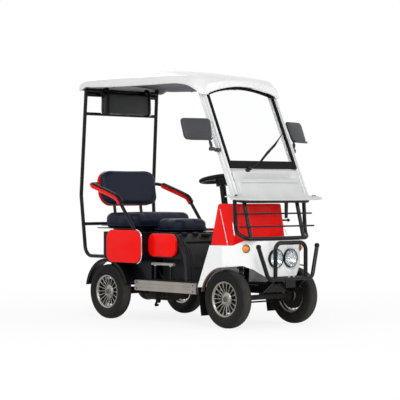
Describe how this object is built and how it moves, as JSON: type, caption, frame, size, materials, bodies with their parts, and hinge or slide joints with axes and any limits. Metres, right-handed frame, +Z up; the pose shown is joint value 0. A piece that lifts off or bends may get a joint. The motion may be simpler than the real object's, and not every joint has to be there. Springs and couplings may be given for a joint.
{
  "type": "four-wheeled electric passenger cart with canopy",
  "caption": "Small electric passenger cart: canopy on posts, windscreen, driver's seat and rear bench, steered front wheels and a tubular bumper",
  "frame": {"origin": "on the ground under the middle of the cart's bounding box", "axes": "+X forward, +Y to the driver's left, +Z up"},
  "size_m": [1.7509, 1.122, 1.708],
  "materials": {
    "tyre_rubber": "moulded",
    "rim_alloy": "machined",
    "frame_black": "gloss powder coat",
    "axle_black": "satin paint",
    "spring_steel": "sprung steel",
    "floor_rubber": "ribbed mat",
    "sill_alloy": "ribbed extrusion",
    "body_white": "gloss moulding",
    "roof_white": "gloss moulding",
    "cowl_grey": "gloss moulding",
    "panel_red": "gloss moulding",
    "body_black": "gloss moulding",
    "cover_black": "grained moulding",
    "trim_black": "moulded",
    "seal_rubber": "extruded",
    "clear_glass": "clear",
    "lamp_chrome": "polished",
    "amber_lens": "amber lens",
    "red_lens": "red lens",
    "mirror_silver": "silvered",
    "seat_leather": "stitched",
    "pouch_vinyl": "coated fabric",
    "battery_case": "moulded",
    "tube_silver": "anodised tube"
  },
  "bodies": {
    "chassis": {"frame": "frame_black", "front_axle": "axle_black", "rear_axle": "axle_black", "shocks": "spring_steel", "floor": "floor_rubber", "sills": "sill_alloy", "front_body": "body_white", "headlamps": "lamp_chrome", "headlamp_lenses": "clear_glass", "indicators": "amber_lens", "mud_flaps": "seal_rubber", "dash_console": "panel_red", "steering_column": "trim_black", "bumper": "frame_black", "front_rack": "frame_black", "roof": "roof_white", "pillars": "body_white", "windscreen_glass": "clear_glass", "windscreen_seal": "seal_rubber", "wiper": "trim_black", "cowl": "cowl_grey", "mirrors": "trim_black", "mirror_glass": "mirror_silver", "canopy_frame": "frame_black", "curtain_pouch": "pouch_vinyl", "rear_body": "body_black", "mudguards": "body_black", "battery_cover": "cover_black", "seat_box": "body_black", "battery": "battery_case", "side_tubes": "tube_silver", "pedals": "trim_black", "brake_lever": "trim_black", "side_panels": "panel_red", "tail_lamps": "red_lens", "rear_seat": "seat_leather", "driver_seat": "seat_leather", "backrest": "seat_leather", "backrest_shell": "panel_red", "seat_frame": "frame_black", "armrest_pads": "trim_black", "armrest_covers": "panel_red"},
    "steering_wheel": {"steering_wheel": "trim_black"},
    "knuckle_left": {"knuckle_left": "axle_black"},
    "knuckle_right": {"knuckle_right": "axle_black"},
    "tie_rod": {"tie_rod": "axle_black"},
    "wheel_front_left": {"tyre_front_left": "tyre_rubber", "rim_front_left": "rim_alloy"},
    "wheel_front_right": {"tyre_front_right": "tyre_rubber", "rim_front_right": "rim_alloy"},
    "wheel_rear_left": {"tyre_rear_left": "tyre_rubber", "rim_rear_left": "rim_alloy"},
    "wheel_rear_right": {"tyre_rear_right": "tyre_rubber", "rim_rear_right": "rim_alloy"}
  },
  "joints": [
    {"name": "steering", "type": "hinge", "parent": "chassis", "child": "knuckle_left", "pos_m": [0.601, 0.25, 0.1875], "axis": [0, 0, 1], "range_deg": [-25, 25]},
    {"name": "steering_right", "type": "hinge", "parent": "chassis", "child": "knuckle_right", "pos_m": [0.601, -0.25, 0.1875], "axis": [0, 0, 1], "range_deg": [-25, 25]},
    {"name": "tie_rod_swing", "type": "hinge", "parent": "knuckle_left", "child": "tie_rod", "pos_m": [0.511, 0.25, 0.1495], "axis": [0, 0, 1], "range_deg": [-25, 25]},
    {"name": "steering_wheel_turn", "type": "hinge", "parent": "chassis", "child": "steering_wheel", "pos_m": [0.225, 0, 0.948], "axis": [-0.1736, 0, 0.9848], "range_deg": [-50, 50]},
    {"name": "spin_front_left", "type": "hinge", "parent": "knuckle_left", "child": "wheel_front_left", "pos_m": [0.601, 0.3045, 0.1875], "axis": [0, 1, 0], "continuous": true},
    {"name": "spin_front_right", "type": "hinge", "parent": "knuckle_right", "child": "wheel_front_right", "pos_m": [0.601, -0.3045, 0.1875], "axis": [0, 1, 0], "continuous": true},
    {"name": "spin_rear_left", "type": "hinge", "parent": "chassis", "child": "wheel_rear_left", "pos_m": [-0.529, 0.3435, 0.1875], "axis": [0, 1, 0], "continuous": true},
    {"name": "spin_rear_right", "type": "hinge", "parent": "chassis", "child": "wheel_rear_right", "pos_m": [-0.529, -0.3435, 0.1875], "axis": [0, 1, 0], "continuous": true}
  ],
  "couplings": [
    {"joint": "steering_right", "follows": "steering", "ratio": 1},
    {"joint": "tie_rod_swing", "follows": "steering", "ratio": -1},
    {"joint": "steering_wheel_turn", "follows": "steering", "ratio": 2}
  ]
}
